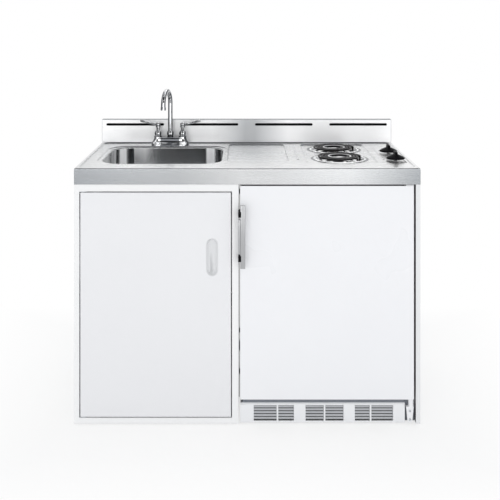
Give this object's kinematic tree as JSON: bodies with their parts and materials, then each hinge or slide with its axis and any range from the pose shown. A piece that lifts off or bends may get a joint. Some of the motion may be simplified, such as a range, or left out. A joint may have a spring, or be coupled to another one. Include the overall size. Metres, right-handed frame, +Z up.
{
  "type": "kitchenette unit with sink and hob",
  "caption": "Compact kitchenette: steel worktop with sink, drainer and electric burners over a sink cabinet and an under-counter refrigerator.",
  "frame": {"origin": "on the floor, at the middle of the unit's overall width and depth", "axes": "+X to the viewer's right when facing the front, +Y to the wall, +Z up"},
  "size_m": [1.216, 0.641, 1.134],
  "materials": {
    "steel": "fine vertical brushing",
    "bowl_steel": "polished",
    "chrome": "bright plated",
    "nut_plastic": "moulded",
    "brass": "machined",
    "galvanised": "zinc coated",
    "element": "blackened sheath",
    "block_ceramic": "unglazed",
    "switch_body": "phenolic",
    "collar_plastic": "moulded",
    "shaft_steel": "turned",
    "knob_black": "moulded",
    "cabinet_white": "baked white enamel",
    "door_white": "baked white enamel",
    "pull_grey": "satin",
    "zinc": "zinc plated",
    "catch": "moulded",
    "foot": "moulded",
    "fridge_white": "smooth white enamel",
    "foam": "rigid foam",
    "liner_white": "vacuum formed",
    "shelf_glass": "clear",
    "clear_plastic": "clear moulding",
    "evaporator_metal": "satin",
    "black_enamel": "black enamel",
    "grille_white": "moulded",
    "seal": "soft",
    "handle_metal": "satin",
    "mount_black": "moulded"
  },
  "bodies": {
    "unit": {"worktop": "steel", "backsplash": "steel", "sink_bowl": "bowl_steel", "sink_waste": "chrome", "waste_locknut": "nut_plastic", "faucet_body": "chrome", "faucet_shank_nuts": "brass", "hob_box": "galvanised", "drip_bowls": "chrome", "control_switches": "switch_body", "cabinet_left_side": "cabinet_white", "cabinet_right_side": "cabinet_white", "cabinet_floor": "cabinet_white", "cabinet_back": "cabinet_white", "face_frame": "cabinet_white", "door_pivots": "zinc", "magnetic_catch": "catch", "levelling_feet": "foot", "end_panel": "cabinet_white", "rear_rails": "galvanised", "fridge_case": "fridge_white", "fridge_insulation": "foam", "fridge_liner": "liner_white", "fridge_shelves": "shelf_glass", "crisper": "clear_plastic", "evaporator": "evaporator_metal", "thermostat_box": "liner_white", "compressor": "black_enamel", "condenser": "black_enamel", "kick_grille": "grille_white", "fridge_hinges": "fridge_white", "tie_spacers": "foot"},
    "strainer": {"strainer_basket": "chrome"},
    "spout_arm": {"spout": "chrome", "aerator": "chrome"},
    "hot_handle": {"hot_lever": "chrome"},
    "cold_handle": {"cold_lever": "chrome"},
    "front_burner": {"coil_front": "element", "coil_support_front": "chrome", "receptacle_front": "block_ceramic"},
    "rear_burner": {"coil_rear": "element", "coil_support_rear": "chrome", "receptacle_rear": "block_ceramic"},
    "front_push": {"push_collar_front": "collar_plastic"},
    "rear_push": {"push_collar_rear": "collar_plastic"},
    "front_control": {"control_shaft_front": "shaft_steel", "knob_front": "knob_black"},
    "rear_control": {"control_shaft_rear": "shaft_steel", "knob_rear": "knob_black"},
    "sink_door": {"cabinet_door": "door_white", "cabinet_door_liner": "door_white", "door_pull": "pull_grey"},
    "refrigerator_door": {"fridge_door": "fridge_white", "fridge_door_liner": "liner_white", "door_gasket": "seal", "door_racks": "clear_plastic", "fridge_handle": "handle_metal", "handle_mounts": "mount_black"},
    "flap": {"freezer_flap": "liner_white"},
    "dial": {"thermostat_dial": "liner_white"}
  },
  "joints": [
    {"name": "sink_door_swing", "type": "hinge", "parent": "unit", "child": "sink_door", "pos_m": [-0.578, -0.2785, 0.42], "axis": [0, 0, 1], "range_deg": [-105, 0]},
    {"name": "refrigerator_door_swing", "type": "hinge", "parent": "unit", "child": "refrigerator_door", "pos_m": [0.576, -0.2765, 0.4635], "axis": [0, 0, 1], "range_deg": [0, 110]},
    {"name": "spout_swivel", "type": "hinge", "parent": "unit", "child": "spout_arm", "pos_m": [-0.317, 0.2555, 0.94], "axis": [0, 0, 1], "range_deg": [-80, 100]},
    {"name": "hot_lever_turn", "type": "hinge", "parent": "unit", "child": "hot_handle", "pos_m": [-0.3678, 0.2555, 0.95], "axis": [0, 0, 1], "range_deg": [0, 90]},
    {"name": "cold_lever_turn", "type": "hinge", "parent": "unit", "child": "cold_handle", "pos_m": [-0.2662, 0.2555, 0.95], "axis": [0, 0, 1], "range_deg": [-90, 0]},
    {"name": "strainer_lift", "type": "slide", "parent": "unit", "child": "strainer", "axis": [0, 0, 1], "range_m": [0, 0.1]},
    {"name": "front_knob_push", "type": "slide", "parent": "unit", "child": "front_push", "axis": [0, 0, 1], "range_m": [-0.003, 0], "stiffness_N_per_m": 500, "springref_m": 0.003},
    {"name": "front_knob_turn", "type": "hinge", "parent": "front_push", "child": "front_control", "pos_m": [0.553, -0.1075, 0.88], "axis": [0, 0, 1], "continuous": true},
    {"name": "rear_knob_push", "type": "slide", "parent": "unit", "child": "rear_push", "axis": [0, 0, 1], "range_m": [-0.003, 0], "stiffness_N_per_m": 500, "springref_m": 0.003},
    {"name": "rear_knob_turn", "type": "hinge", "parent": "rear_push", "child": "rear_control", "pos_m": [0.553, 0.0515, 0.88], "axis": [0, 0, 1], "continuous": true},
    {"name": "front_coil_lift", "type": "hinge", "parent": "unit", "child": "front_burner", "pos_m": [0.46, -0.0605, 0.8805], "axis": [0, 1, 0], "range_deg": [0, 10]},
    {"name": "rear_coil_lift", "type": "hinge", "parent": "unit", "child": "rear_burner", "pos_m": [0.46, 0.1465, 0.8805], "axis": [0, 1, 0], "range_deg": [0, 10]},
    {"name": "freezer_flap_swing", "type": "hinge", "parent": "unit", "child": "flap", "pos_m": [0.232, -0.058, 0.7795], "axis": [1, 0, 0], "range_deg": [-85, 0]},
    {"name": "thermostat_turn", "type": "hinge", "parent": "unit", "child": "dial", "pos_m": [0.4955, -0.0535, 0.7685], "axis": [0, 1, 0], "range_deg": [0, 300]}
  ]
}
